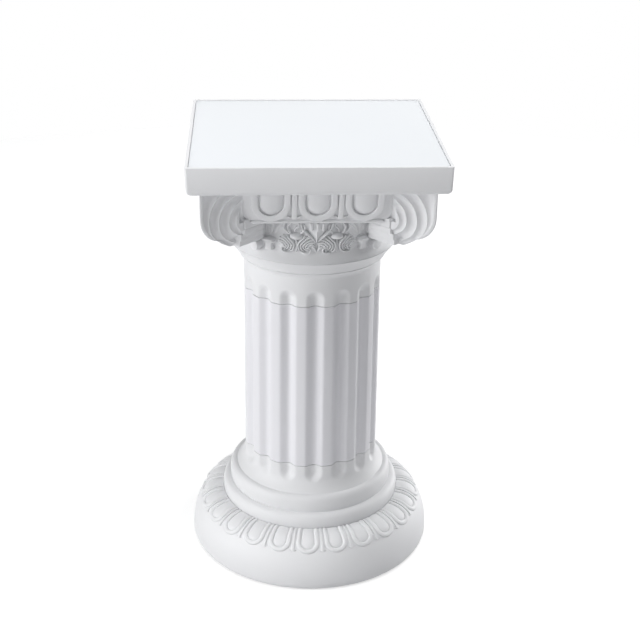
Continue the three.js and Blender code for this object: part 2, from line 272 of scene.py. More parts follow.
    @classmethod
    def dome(cls, name: str, half: Pair, rise: float, at: Pair = (0, 0), sink: float = 1.0,
             segments: int = 24) -> Piece:
        """Makes a flattened ball that stands out of the working plane.

        Args:
            name: The piece's name.
            half: Half width and half height.
            rise: How far the crown stands out.
            at: Its centre.
            sink: Depth of its back below the plane.
            segments: Steps round it.

        Returns:
            The closed dome.
        """
        cls.clear()
        bpy.ops.mesh.primitive_uv_sphere_add(segments=segments, ring_count=segments // 2, radius=1)
        obj = cls.take_new(name)
        return cls.move(obj, lambda p: np.column_stack([
            p[:, 0] * half[0] + at[0], p[:, 1] * half[1] + at[1],
            np.where(p[:, 2] > 0, p[:, 2] * rise, p[:, 2] * sink)]))

    @classmethod
    def modify(cls, obj: Piece, kind: str, **settings: Any) -> Piece:
        """Adds a modifier of a type with its settings, applies it and returns the piece."""
        cls.hold(obj)
        modifier = obj.modifiers.new(kind.lower(), kind)
        for key, value in settings.items():
            setattr(modifier, key, value)
        bpy.ops.object.modifier_apply(modifier=modifier.name)
        return obj

    @classmethod
    def mirrored(cls, obj: Piece, rule: Matrix) -> Piece:
        """Returns a copy turned over by a mirroring matrix, with its faces outward again."""
        twin = cls.copy(obj, rule)
        twin.data.flip_normals()
        return twin

    @staticmethod
    def copy(obj: Piece, rule: Matrix) -> Piece:
        """Returns a copy with its own mesh, placed by a matrix."""
        twin = obj.copy()
        twin.data = obj.data.copy()
        twin.data.transform(rule)
        bpy.context.scene.collection.objects.link(twin)
        return twin

    @classmethod
    def join(cls, name: str, objs: Sequence[Piece]) -> Piece:
        """Joins several meshes into one piece of the given name."""
        cls.hold(*objs)
        if len(objs) > 1:
            bpy.ops.object.join()
        return cls.take_new(name)

    @classmethod
    def ring(cls, name: str, obj: Piece, count: int = 4, start: float = 0.0) -> Piece:
        """Repeats a piece round the column axis.

        Args:
            name: Name of the joined piece.
            obj: The piece at the front; it is used up.
            count: Copies round the full turn.
            start: Angle of the first copy in degrees.

        Returns:
            All copies as one piece.
        """
        copies = [cls.copy(obj, Matrix.Rotation(math.radians(start + 360 * k / count), 4, "Z"))
                  for k in range(count)]
        bpy.data.objects.remove(obj)
        return cls.join(name, copies)

    @classmethod
    def cut(cls, obj: Piece, height: float, away: Triple) -> Piece:
        """Cuts off what lies beyond a height on the axis, on the side away, and closes the cut."""
        with cls.editing(obj):
            bpy.ops.mesh.bisect(plane_co=(0, 0, height), plane_no=away, clear_outer=True,
                                use_fill=True)
        return obj


def smooth_path(knots: Sequence[Pair], count: int) -> Points:
    """Runs a smooth curve through a few knots.

    Args:
        knots: Points that the curve passes.
        count: Points on the result.

    Returns:
        Rows of x, y.
    """
    ends = [np.subtract(np.multiply(end, 2), inner)
            for end, inner in ((knots[0], knots[1]), (knots[-1], knots[-2]))]
    pins = np.vstack([ends[0], knots, ends[1]])
    at = np.linspace(0, len(knots) - 1, count)
    leg = np.minimum(at.astype(int), len(knots) - 2)
    u = (at - leg)[:, None]
    a, b, c, d = (pins[leg + k] for k in range(4))
    return 0.5 * (2 * b + (c - a) * u + (2 * a - 5 * b + 4 * c - d) * u ** 2
                  + (3 * b - a - 3 * c + d) * u ** 3)


def cup_path(half: float, drop: float, steps: int = 28, legs: int = 8) -> Points:
    """Path of a cup: down on the left, round below and up on the right.

    Args:
        half: Half width of the cup.
        drop: Height of the straight sides above the round part's centre.
        steps: Points on the round part.
        legs: Points on each straight side.

    Returns:
        Rows of x, y with the round part centred on 0, 0.
    """
    angle = np.linspace(math.pi, 2 * math.pi, steps)
    arc = np.column_stack([half * np.cos(angle), half * np.sin(angle)])
    fall = np.linspace(drop, 0, legs, endpoint=False)
    left = np.column_stack([np.full(legs, -half), fall])
    right = np.column_stack([np.full(legs, half), fall[::-1]])
    return np.vstack([left, arc, right])


def squared(angle: Points, power: float) -> tuple[Points, Points]:
    """Returns across and up of a round section whose corners a power squares."""
    return tuple(np.sign(way) * np.abs(way) ** power for way in (np.cos(angle), np.sin(angle)))


def level(value: float) -> Amount:
    """A width or height that stays the same along a band."""
    return lambda t: np.full_like(t, value)


def tapered(value: float, start: float = 0.15, end: float = 0.15, least: float = 0.12) -> Amount:
    """A width that rounds down to a fraction at each end.

    Args:
        value: Full width.
        start: Part of the length over which it opens.
        end: Part of the length over which it closes.
        least: Fraction left at the very ends.

    Returns:
        The width for t from 0 to 1.
    """
    def amount(t: Points) -> Points:
        opening = np.clip(t / max(start, 1e-6), 0, 1)
        closing = np.clip((1 - t) / max(end, 1e-6), 0, 1)
        part = np.minimum(opening, closing)
        return value * (least + (1 - least) * np.sqrt(1 - (1 - part) ** 2))
    return amount


# ---------------------------------------------------------------- finishes


class Signal:
    """A shader value that takes part in arithmetic."""

    def __init__(self, graph: "Graph", socket: bpy.types.NodeSocket) -> None:
        """Wraps an output socket of a graph's node."""
        self.graph = graph
        self.socket = socket

    def _math(self, operation: str, first: Any, second: Any) -> "Signal":
        """Adds one Math node."""
        return self.graph.node("ShaderNodeMath", {"operation": operation}, {0: first, 1: second})

    def __add__(self, other: Any) -> "Signal":
        """Sum."""
        return self._math("ADD", self, other)

    __radd__ = __add__

    def __mul__(self, other: Any) -> "Signal":
        """Product."""
        return self._math("MULTIPLY", self, other)

    __rmul__ = __mul__

    def __sub__(self, other: Any) -> "Signal":
        """Difference."""
        return self._math("SUBTRACT", self, other)

    def __rsub__(self, other: Any) -> "Signal":
        """Difference from a number."""
        return self._math("SUBTRACT", other, self)

    def most(self, other: "Signal") -> "Signal":
        """The larger of two values."""
        return self._math("MAXIMUM", self, other)


class Graph:
    """Adds nodes to a material's or the world's tree."""

    def __init__(self, owner: bpy.types.ID) -> None:
        """Opens the owner's node tree."""
        owner.use_nodes = True
        self.tree = owner.node_tree

    def node(self, kind: str, settings: dict[str, Any], values: dict[Any, Any],
             output: Any = 0) -> Signal:
        """Adds a node.

        Args:
            kind: The node's type.
            settings: Its own settings, set first.
            values: Numbers, colours or signals for its sockets, by name or place.
            output: The output that is wanted, by name or place.

        Returns:
            The output as a signal.
        """
        node = self.tree.nodes.new(kind)
        for key, value in settings.items():
            setattr(node, key, value)
        for key, value in values.items():
            self.feed(node.inputs[key], value)
        return Signal(self, node.outputs[output])

    def feed(self, socket: bpy.types.NodeSocket, value: Any) -> None:
        """Links a signal to a socket, or sets a plain value on it."""
        if isinstance(value, Signal):
            self.tree.links.new(value.socket, socket)
        else:
            socket.default_value = value

    def colour(self, kind: str, colour: Triple, strength: float | None = None) -> Signal:
        """Adds a plain shader of one colour, with a strength if it gives light."""
        values = {"Color": (*colour, 1.0)} | ({} if strength is None else {"Strength": strength})
        return self.node(kind, {}, values)

    def split(self, kind: str, unseen: Signal, seen: Signal) -> None:
        """Ends the tree with one shader for the light and another for what is seen.

        Args:
            kind: The output node's type.
            unseen: Shader for rays that only carry light.
            seen: Shader for camera, glossy and transmission rays.
        """
        camera, glossy, through = (
            self.node("ShaderNodeLightPath", {}, {}, output=f"Is {ray} Ray")
            for ray in ("Camera", "Glossy", "Transmission"))
        mask = camera.most(glossy).most(through)
        mixed = self.node("ShaderNodeMixShader", {}, {0: mask, 1: unseen, 2: seen})
        output = self.tree.nodes.new(kind)
        self.feed(output.inputs["Surface"], mixed)


class Finish(Graph):
    """A surface's material, with its Principled shader and Object coordinates."""

    def __init__(self, name: str) -> None:
        """Makes the material."""
        self.material = bpy.data.materials.new(name)
        super().__init__(self.material)
        self.shader = self.tree.nodes["Principled BSDF"]
        self.place = self.node("ShaderNodeTexCoord", {}, {}, output="Object")

    def set(self, name: str, value: Any) -> None:
        """Feeds one of the Principled shader's sockets."""
        self.feed(self.shader.inputs[name], value)

    def noise(self, size: float, detail: float = 2.0) -> Signal:
        """Returns a noise of about 0 to 1 whose lumps are about size metres across."""
        values = {"Vector": self.place, "Scale": 1 / size, "Detail": detail}
        return self.node("ShaderNodeTexNoise", {}, values)

    def blend(self, factor: Signal, first: Triple, second: Triple) -> Signal:
        """Mixes two colours by a signal."""
        values = {0: factor, 6: (*first, 1.0), 7: (*second, 1.0)}
        return self.node("ShaderNodeMix", {"data_type": "RGBA"}, values, output=2)


@dataclass(frozen=True)
class MouldedPlastic:
    """Injection-moulded plastic: faint clouds of tone, fine orange peel and a satin sheen.

    Attributes:
        name: The finish's name.
        tone: Linear colour of the plastic.
        shade: Linear colour of its slightly darker clouds.
        roughness: Mean roughness.
        peel: Height of the orange peel in metres.
        peel_size: Width of one dimple in metres.
        specular: Level of the specular reflection.
    """

    name: str
    tone: Triple
    shade: Triple
    roughness: float
    peel: float
    peel_size: float = 0.0016
    specular: float = 0.35

    def material(self) -> bpy.types.Material:
        """Builds the finish's material."""
        graph = Finish(self.name)
        clouds = graph.noise(0.06, 3.0)
        grain = graph.noise(self.peel_size, 2.0)
        scuffs = graph.noise(0.012, 4.0)
        graph.set("Base Color", graph.blend(clouds, self.tone, self.shade))
        graph.set("Roughness", self.roughness - 0.06 + scuffs * 0.08 + grain * 0.04)
        bump = {"Strength": 0.6, "Distance": self.peel, "Height": grain + clouds * 0.4}
        graph.set("Normal", graph.node("ShaderNodeBump", {}, bump))
        graph.set("Specular IOR Level", self.specular)
        return graph.material


@dataclass(frozen=True)
class ZincSteel:
    """Zinc-plated steel of the tray screws.

    Attributes:
        name: The finish's name.
        tone: Linear colour of the plating.
        shade: Linear colour of its duller patches.
    """

    name: str
    tone: Triple
    shade: Triple

    def material(self) -> bpy.types.Material:
        """Builds the finish's material."""
        graph = Finish(self.name)
        patches = graph.noise(0.002, 3.0)
        graph.set("Base Color", graph.blend(patches, self.tone, self.shade))
        graph.set("Roughness", 0.26 + patches * 0.14)
        graph.set("Metallic", 1.0)
        return graph.material


class Finishes:
    """The stand's four finishes, each made once."""

    def __init__(self) -> None:
        """Makes the materials."""
        recipes = {
            Slot.MOULDING: MouldedPlastic(
                "white_moulding", (0.80, 0.805, 0.815), (0.775, 0.78, 0.795), 0.5, 0.00007),
            Slot.SHAFT: MouldedPlastic(
                "cool_white_moulding", (0.805, 0.805, 0.833), (0.785, 0.785, 0.816), 0.48, 0.00006),
            Slot.PANEL: MouldedPlastic(
                "panel_sheet", (0.80, 0.825, 0.85), (0.79, 0.815, 0.845), 0.36, 0.00002, 0.003),
            Slot.SCREW: ZincSteel("zinc_plate", (0.56, 0.57, 0.59), (0.44, 0.45, 0.47)),
        }
        self.by_slot = {slot: recipe.material() for slot, recipe in recipes.items()}

    def coat(self, obj: Piece, slot: Slot) -> None:
        """Gives a piece its slot's finish in place of any other."""
        obj.data.materials.clear()
        obj.data.materials.append(self.by_slot[slot])

    def dress(self, obj: Piece, body: Body, *nodes: str, slot: Slot = Slot.MOULDING,
              sharp: float = 32.0) -> None:
        """Brings a piece to metres, smooths it, gives it its finish and hands it to its body.

        Args:
            obj: The modelled piece.
            body: The body that it rides on.
            nodes: The CAD nodes that it stands for.
            slot: The material slot that it takes.
            sharp: Edges sharper than this many degrees stay sharp.
        """
        obj.data.transform(Matrix.Scale(MM, 4))
        Bench.hold(obj)
        bpy.ops.object.shade_smooth_by_angle(angle=math.radians(sharp))
        self.coat(obj, slot)
        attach(obj, body.value)
        if nodes:
            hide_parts(*nodes)
        LOG.info("%s: %d faces on %s", obj.name, len(obj.data.polygons), body.value)


# ---------------------------------------------------------------- column


@dataclass
class Flutes:
    """Round-ended flutes pressed into the column.

    Attributes:
        count: Flutes round the column.
        half: Half width of a flute.
        depth: Depth on its centre line.
        steps: Columns of faces for each flute and its land.
    """

    count: int = 16
    half: float = 9.8
    depth: float = 4.9
    steps: int = 28

    @property
    def segments(self) -> int:
        """Columns of faces round the whole column."""
        return self.count * self.steps

    def press(self, low: float, high: float, radius: float) -> Rule:
        """Returns the rule that presses flutes into a round body.

        Args:
            low: Height where the round lower ends lie, or far below for flutes that run through.
            high: Height where the round upper ends lie, or far above.
            radius: Points inside this radius aren't moved.

        Returns:
            A rule for Bench.move.
        """
        def rule(p: Points) -> Points:
            r = np.hypot(p[:, 0], p[:, 1])
            pitch = 2 * math.pi / self.count
            turn = np.arctan2(p[:, 0], -p[:, 1])
            across = (turn - pitch * np.rint(turn / pitch)) * r / self.half
            below = np.clip(low + self.half - p[:, 2], 0, None) / self.half
            above = np.clip(p[:, 2] - high + self.half, 0, None) / self.half
            away = np.clip(across ** 2 + (below + above) ** 2, 0, 1)
            sunk = np.where(r > radius, self.depth * np.cos(np.sqrt(away) * math.pi / 2) ** 1.7, 0)
            return p * np.column_stack([1 - sunk / r, 1 - sunk / r, np.ones_like(r)])
        return rule

    def end_rows(self, at: float, way: int) -> list[float]:
        """Heights of the rings that draw a round end, from its tip inward."""
        parts = (0, 0.012, 0.05, 0.11, 0.19, 0.29, 0.41, 0.55, 0.7, 0.86, 1.0)
        return [at + way * part * self.half for part in parts]


@dataclass
class Spigot:
    """The sleeve that plugs a moulding into the shaft tube.

    Attributes:
        radius: Outside radius.
        bore: Inside radius.
        length: Length beyond the seam.
        chamfer: Chamfer of its end.
    """

    radius: float = 65.7
    bore: float = 62.7
    length: float = 29.5
    chamfer: float = 1.0


GAP = 0.45                      # seam between two pieces, in millimetres
EASE = 0.35                     # rounding of the edges at a seam
LOWER_SEAM = 117.1
UPPER_SEAM = 302.2
FAR = 1000.0                    # a height beyond either end of the stand


@dataclass
class Bell:
    """Bell of the base: a rounded shoulder from the rim up to the lower torus.

    Attributes:
        rim: Largest radius.
        rim_z: Height of the largest radius.
        top: Radius at the crease under the torus.
        top_z: Height of that crease.
        power: Power of the rounded outline.
    """

    rim: float = 132.4
    rim_z: float = 6.5
    top: float = 97.0
    top_z: float = 54.5
    power: float = 2.2

    def outline(self, count: int, inset: float = 0.0) -> Points:
        """Returns radius and height of points from rim to crease, drawn in by a wall's inset."""
        angle = np.linspace(0, math.pi / 2, count)
        turn = 2 / self.power
        r = self.top - inset + (self.rim - self.top) * np.cos(angle) ** turn
        z = self.rim_z + (self.top_z - self.rim_z - inset) * np.sin(angle) ** turn
        return np.column_stack([r, z])

    def lay(self, middle: float) -> Rule:
        """Returns the rule that lays flat work on the bell.

        Args:
            middle: Radius at which widths are true.

        Returns:
            A rule for Bench.move: x goes round, y is minus the way down from the crease, z is out.
        """
        curve = self.outline(400)[::-1]
        run = np.concatenate([[0], np.cumsum(np.linalg.norm(np.diff(curve, axis=0), axis=1))])
        slope = np.gradient(curve, axis=0)
        slope /= np.linalg.norm(slope, axis=1)[:, None]

        def rule(p: Points) -> Points:
            down = -p[:, 1]
            r, z = np.interp(down, run, curve[:, 0]), np.interp(down, run, curve[:, 1])
            way_r, way_z = np.interp(down, run, slope[:, 0]), np.interp(down, run, slope[:, 1])
            r, z = r - way_z * p[:, 2], z + way_r * p[:, 2]
            turn = p[:, 0] / middle
            return np.column_stack([r * np.sin(turn), -r * np.cos(turn), z])
        return rule


@dataclass
class EggBand:
    """One unit of egg and dart in its flat working plane: x across, y up, z out.

    Attributes:
        egg: Half width of the egg.
        cup: Half width of the raised cup round it, to its outer edge.
        groove: Width of the ground between the egg and the cup.
        drop: Height of the top edge above the centre of the round end.
        egg_rise: Crown of the egg above the ground.
        cup_rise: Height of the cup.
        dart: Half width of the dart.
        dart_foot: Foot of the dart below the centre of the round end.
        barb: Half width of the dart's barbs.
        shape: Section of the cup.
    """

    egg: float
    cup: float
    groove: float
    drop: float
    egg_rise: float
    cup_rise: float
    dart: float
    dart_foot: float
    barb: float
    shape: Section = Section.FLAT

    def egg_piece(self) -> Piece:
        """Models the egg: half a dome whose cut edge is drawn up to the top."""
        rows = 6
        step = {"value": (0, self.drop / rows, 0)}
        egg = Bench.dome("egg", (self.egg, self.egg * 1.04), self.egg_rise, sink=0.9, segments=32)
        Bench.cut(egg, 0, (0, 1, 0))
        Bench.select_faces(egg, lambda centre, normal: centre.y > -1e-4 and normal.y > 0.9)
        with Bench.editing():
            for _ in range(rows):
                bpy.ops.mesh.extrude_region_move(TRANSFORM_OT_translate=step)
        return egg

    def cup_piece(self) -> Piece:
        """Models the raised cup as a flat band with rounded shoulders."""
        inner = self.egg + self.groove
        half = (self.cup - inner) / 2
        path = cup_path(inner + half, self.drop)
        return Bench.sweep("cup", path, level(half), level(self.cup_rise), self.shape, sink=1.2,
                           around=24)

    def dart_piece(self, offset: float) -> Piece:
        """Models the dart and its barbs at an offset from the egg's centre line."""
        foot = -self.dart_foot
        path = np.linspace((offset, self.drop), (offset, foot), 14)
        parts = [Bench.sweep("dart", path, level(self.dart), level(self.cup_rise * 0.85),
                             Section.FLAT, sink=1.2, around=20)]
        for barb in (-self.barb, self.barb):
            knots = [(offset, foot + 0.6), (offset + barb * 0.5, foot + self.barb * 0.08 + 0.6),
                     (offset + barb, foot + self.barb * 0.42)]
            parts.append(Bench.sweep("barb", smooth_path(knots, 10),
                                     tapered(self.dart * 0.42, 0.01, 0.8, 0.1),
                                     level(self.cup_rise * 0.7), around=12))
        return Bench.join("dart", parts)


@dataclass
class Base:
    """Bell-shaped base moulding with two tori, its egg and dart band and the fluted stub.

    Attributes:
        bell: The bell's outline.
        flutes: The column's flutes.
        spigot: The sleeve into the shaft tube.
        foot: Inner and outer radius of the foot ring.
        upper: Radius and height of the crease between the tori.
        flare: Radius and height where the upper torus ends.
        stub: Radius of the column.
        flute_end: Height of the flutes' round ends.
        flare_rise: Height over which the flare runs out into the stub.
        lap: How far the stub's end is set back, and the height where that starts.
        wall: Thickness of the bell.
        units: Eggs round the bell.
        turn: Turn of the first egg in degrees.
        middle: Radius at which the widths of the egg band are true.
    """

    bell: Bell
    flutes: Flutes
    spigot: Spigot
    foot: Pair = (121.0, 126.0)
    upper: Pair = (88.7, 70.3)
    flare: Pair = (81.6, 88.3)
    stub: float = 73.0
    flute_end: float = 98.0
    flare_rise: float = 16.0
    lap: Pair = (0.12, 113.7)
    wall: float = 3.4
    units: int = 24
    turn: float = -3.8
    middle: float = 112.0

    @staticmethod
    def torus(low: Pair, high: Pair, bulge: float, count: int = 14) -> list[Pair]:
        """Returns points of a torus in section, without its first point.

        Args:
            low: Lower crease.
            high: Upper crease.
            bulge: How far the torus stands out.
            count: Points on it.

        Returns:
            Radius and height of each point.
        """
        t = np.linspace(0, 1, count + 1)[1:, None]
        belly = np.array([low[0] + bulge, high[1] + 0.4 * bulge])
        curve = (1 - t) ** 2 * np.array(low) + 2 * t * (1 - t) * belly + t ** 2 * np.array(high)
        return [tuple(point) for point in curve]

    def profile(self) -> list[Pair]:
        """Returns the closed section of the moulding."""
        bell, spigot = self.bell, self.spigot
        crease = (bell.top, bell.top_z)
        seam = LOWER_SEAM - GAP / 2
        top = LOWER_SEAM + spigot.length
        flare_rows = [self.flare[1] + self.flare_rise * part / 10 for part in range(1, 6)]
        rows = sorted(flare_rows + self.flutes.end_rows(self.flute_end, 1) + [110.0, 113.6, 113.9])
        columns = [(self.flare_radius(z), z) for z in rows]
        inside = [tuple(point) for point in bell.outline(24, inset=self.wall)]
        return [
            (self.foot[1], 0), (128.4, 0.45), (130.3, 1.7), (131.6, 3.6),
            *(tuple(point) for point in bell.outline(48)),
            *self.torus(crease, self.upper, 2.9), *self.torus(self.upper, self.flare, 2.8),
            *columns, (self.stub, seam - EASE), (self.stub - EASE, seam), (spigot.radius, seam),
            (spigot.radius, top - spigot.chamfer), (spigot.radius - spigot.chamfer, top),
            (spigot.bore, top), (spigot.bore, 96.3), (77.0, 82.0), (84.0, 65.3),
            *inside[::-1], (self.foot[0] + 0.6, 1.0), (self.foot[0] + 1.2, 0), (self.foot[1], 0),
        ]

    def flare_radius(self, z: float) -> float:
        """Returns the column's radius at a height on the flare or the stub."""
        left = max(0.0, 1 - (z - self.flare[1]) / self.flare_rise)
        back = self.lap[0] if z > self.lap[1] else 0.0
        return self.stub + (self.flare[0] - self.stub) * left ** 2 - back

    def build(self, finishes: Finishes) -> None:
        """Models the base and dresses it."""
        shell = Bench.turned("base_moulding", self.profile(), self.flutes.segments)
        Bench.move(shell, self.flutes.press(self.flute_end, FAR, self.spigot.radius + 1))
        finishes.dress(shell, Body.BASE, "base")
        band = EggBand(egg=6.8, cup=12.1, groove=0.3, drop=18.2, egg_rise=1.3, cup_rise=1.7,
                       dart=1.3, dart_foot=9.8, barb=3.2, shape=Section.ROUND)
        for name, piece in (("base_eggs", band.egg_piece()), ("base_egg_cups", band.cup_piece()),
                            ("base_darts", band.dart_piece(self.middle * math.pi / self.units))):
            Bench.move(piece, lambda p: p + np.array([0, -band.drop - 0.9, 0]))
            Bench.move(piece, self.bell.lay(self.middle))
            finishes.dress(Bench.ring(name, piece, self.units, self.turn), Body.BASE)


@dataclass
class ShaftTube:
    """Fluted tube between the two seams.

    Attributes:
        flutes: The column's flutes.
        low: Radius at the lower seam.
        high: Radius at the upper seam.
        bore: Inside radius.
    """

    flutes: Flutes
    low: float = 73.0
    high: float = 72.2
    bore: float = 66.0

    def build(self, finishes: Finishes) -> None:
        """Models the tube and dresses it."""
        bottom, top = LOWER_SEAM + GAP / 2, UPPER_SEAM - GAP / 2
        profile = [
            (self.bore, bottom), (self.low - EASE, bottom), (self.low, bottom + EASE),
            (self.low - 0.2, 170.0), (self.low - 0.5, 240.0),
            (self.high, top - EASE), (self.high - EASE, top), (self.bore, top), (self.bore, bottom),
        ]
        tube = Bench.turned("shaft_fluted_tube", profile, self.flutes.segments)
        Bench.move(tube, self.flutes.press(-FAR, FAR, self.bore + 1))
        finishes.dress(tube, Body.SHAFT, "shaft_tube", slot=Slot.SHAFT)


# ---------------------------------------------------------------- capital


TOP_OF_CAPITAL = 440.2


@dataclass
class CapitalCore:
    """Turned middle of the capital: stub, stepped collar and neck.

    Attributes:
        flutes: The column's flutes.
        spigot: The sleeve into the shaft tube.
        stub: Radius of the stub.
        flute_end: Height of the flutes' round ends.
        swell: Height where the stub starts to widen towards the collar.
        collar_low: Radius and height of the collar's lower line.
        collar_high: Radius and height of the collar's upper line.
        neck: Radius of the neck and height where it starts.
    """

    flutes: Flutes
    spigot: Spigot
    stub: float = 72.2
    flute_end: float = 320.0
    swell: float = 332.0
    collar_low: Pair = (77.1, 339.8)
    collar_high: Pair = (87.2, 354.5)
    neck: Pair = (79.5, 366.0)

    def profile(self) -> list[Pair]:
        """Returns the closed section of the core."""
        spigot = self.spigot
        seam = UPPER_SEAM + GAP / 2
        foot = UPPER_SEAM - spigot.length
        ends = sorted(self.flutes.end_rows(self.flute_end, -1))
        low_r, low_z = self.collar_low
        high_r, high_z = self.collar_high
        neck_r, neck_z = self.neck
        rise = np.linspace(0, 1, 9)[1:]
        lower = [(self.stub + (low_r - self.stub) * t ** 2.1,
                  self.swell + (low_z - self.swell) * t) for t in rise]
        cove = [(low_r + 0.3 + (high_r - low_r - 0.3) * t ** 1.15,
                 low_z + 0.9 + (high_z - low_z - 1.2) * t) for t in rise]
        roll = [(neck_r + (high_r - 0.2 - neck_r) * (1 - t) ** 1.2,
                 high_z + 0.9 + (neck_z - high_z - 0.9) * t) for t in rise]
        return [
            (spigot.bore, foot), (spigot.radius - spigot.chamfer, foot),
            (spigot.radius, foot + spigot.chamfer),
            (spigot.radius, seam), (self.stub - EASE, seam), (self.stub, seam + EASE),
            *((self.stub, z) for z in ends), (self.stub, self.swell - 0.5), *lower,
            (low_r - 0.7, low_z + 0.45), (low_r + 0.3, low_z + 0.9), *cove,
            (high_r - 0.9, high_z + 0.3), (high_r - 0.2, high_z + 0.9), *roll,
            (neck_r, 385.0), (neck_r, TOP_OF_CAPITAL), (76.0, TOP_OF_CAPITAL), (76.0, 361.0),
            (73.1, 345.0), (spigot.bore, 334.0), (spigot.bore, foot),
        ]

    def build(self, finishes: Finishes) -> None:
        """Models the core and dresses it."""
        core = Bench.turned("capital_core", self.profile(), self.flutes.segments)
        Bench.move(core, self.flutes.press(-FAR, self.flute_end, self.spigot.radius + 1))
        finishes.dress(core, Body.CAPITAL, "capital")


@dataclass
class Echinus:
    """The four leaning blocks under the tray, with their eggs, darts and beads.

    Attributes:
        half: Half width of a block.
        low: Height of a block's lower edge.
        back: How far a block's back stands from the axis.
        rounding: Width and height of the rounding of its lower corners.
        foot: How far the lower edge stands from the axis.
        lean: How much further the upper edge stands out.
        pitch: Distance between two eggs.
        bead: Half length of the bead.
        bead_z: Height of the bead.
    """

    half: float = 72.0
    low: float = 402.6
    back: float = 62.0
    rounding: Pair = (6.0, 11.0)
    foot: float = 90.0
    lean: float = 8.0
    pitch: float = 45.0
    bead: float = 65.0
    bead_z: float = 401.2

    def reach(self, z: Points) -> Points:
        """Returns how far the leaning face stands from the axis at a height."""
        part = np.clip((z - self.low) / (TOP_OF_CAPITAL - self.low), 0, 1)
        return self.foot + self.lean * part ** 0.78

    def lay(self, p: Points) -> Points:
        """Lays flat work on the leaning face: y is the height, z stands out of the face."""
        return np.column_stack([p[:, 0], -self.reach(p[:, 1]) - p[:, 2], p[:, 1]])

    def block(self) -> Piece:
        """Models one block: a rounded plan drawn up along the leaning face."""
        def place(s: Points, t: Points) -> Points:
            z = self.low + (TOP_OF_CAPITAL - self.low) * t
            drawn = np.clip(1 - (z - self.low) / self.rounding[1], 0, 1)
            half = self.half - self.rounding[0] * (1 - np.sqrt(1 - drawn ** 2))
            x, y = squared(2 * math.pi * s + math.pi / 4, 0.06)
            front = self.reach(z)
            middle, deep = (front + self.back) / 2, (front - self.back) / 2
            return np.column_stack([x * half, -middle - y * deep, z])

        return Bench.sheet("block", 96, 24, place, rolled=True)

    def build(self, finishes: Finishes) -> None:
        """Models the echinus and dresses it."""
        band = EggBand(egg=11.4, cup=18.9, groove=1.2, drop=19.0, egg_rise=4.1, cup_rise=3.5,
                       dart=2.7, dart_foot=16.2, barb=7.0)
        centre = np.array([0, TOP_OF_CAPITAL - band.drop - 0.02, 0])
        slides = [Matrix.Translation((self.pitch * k, 0, 0)) for k in (-1, 0, 1)]
        rows = {}
        for name, piece in (("capital_eggs", band.egg_piece()),
                            ("capital_egg_cups", band.cup_piece())):
            rows[name] = Bench.join(name, [Bench.copy(piece, slide) for slide in slides])
            bpy.data.objects.remove(piece)
        rows["capital_darts"] = Bench.join(
            "capital_darts", [band.dart_piece(side * self.pitch / 2) for side in (-1, 1)])
        for row in rows.values():
            Bench.move(Bench.move(row, lambda p: p + centre), self.lay)
        pieces = {"capital_blocks": self.block(), **rows, "capital_beads": self.bead_piece()}
        for name, piece in pieces.items():
            finishes.dress(Bench.ring(name, piece), Body.CAPITAL)

    def bead_piece(self) -> Piece:
        """Models the bead along the lower edge of a block."""
        path = np.linspace((-self.bead, self.bead_z), (self.bead, self.bead_z), 40)
        bead = Bench.sweep("bead", path, tapered(1.75, 0.02, 0.02, 0.1),
                           tapered(2.6, 0.02, 0.02, 0.3), sink=12.0)
        front = 0.2 - self.foot
        return Bench.move(bead, lambda p: np.column_stack([p[:, 0], front - p[:, 2], p[:, 1]]))


